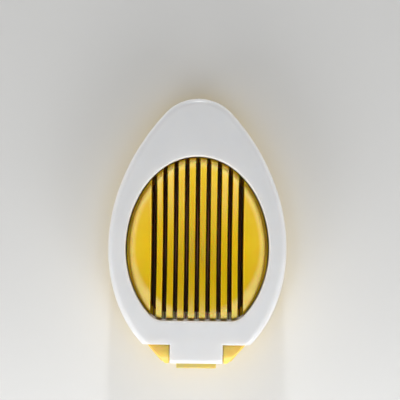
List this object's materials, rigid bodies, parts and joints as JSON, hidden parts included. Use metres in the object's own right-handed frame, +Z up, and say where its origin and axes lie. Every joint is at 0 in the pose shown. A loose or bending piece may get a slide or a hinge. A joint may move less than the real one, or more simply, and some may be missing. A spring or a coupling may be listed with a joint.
{
  "type": "egg slicer",
  "caption": "Hand egg slicer: an egg-shaped frame strung with steel wires, hinged at its blunt end to a hollow base with a slotted egg cradle.",
  "frame": {"origin": "on the table, under the middle of the shut slicer's bounding box", "axes": "+Y from the hinge end to the narrow tip, +Z up, +X across, parallel to the hinge pin"},
  "size_m": [0.09, 0.138, 0.033],
  "materials": {
    "yellow_plastic": "injection-moulded ABS, golden yellow, semi-gloss",
    "white_plastic": "injection-moulded ABS, cool white, satin gloss",
    "wire_steel": "drawn stainless steel wire, bright",
    "steel": "zinc-plated steel"
  },
  "bodies": {
    "base": {"base_tray": "yellow_plastic", "egg_cradle": "yellow_plastic", "hinge_pin": "steel"},
    "lid": {"lid_frame": "white_plastic", "wire_1": "wire_steel", "wire_2": "wire_steel", "wire_3": "wire_steel", "wire_4": "wire_steel", "wire_5": "wire_steel", "wire_6": "wire_steel", "wire_7": "wire_steel", "wire_8": "wire_steel", "wire_9": "wire_steel", "rear_wire_keeper": "white_plastic", "tip_wire_keeper": "white_plastic", "keeper_screw_1": "steel", "keeper_screw_2": "steel", "keeper_screw_3": "steel", "keeper_screw_4": "steel"}
  },
  "joints": [
    {"name": "lid_hinge", "type": "hinge", "parent": "base", "child": "lid", "pos_m": [0, -0.06, 0.023], "axis": [1, 0, 0], "range_deg": [0, 120]}
  ]
}
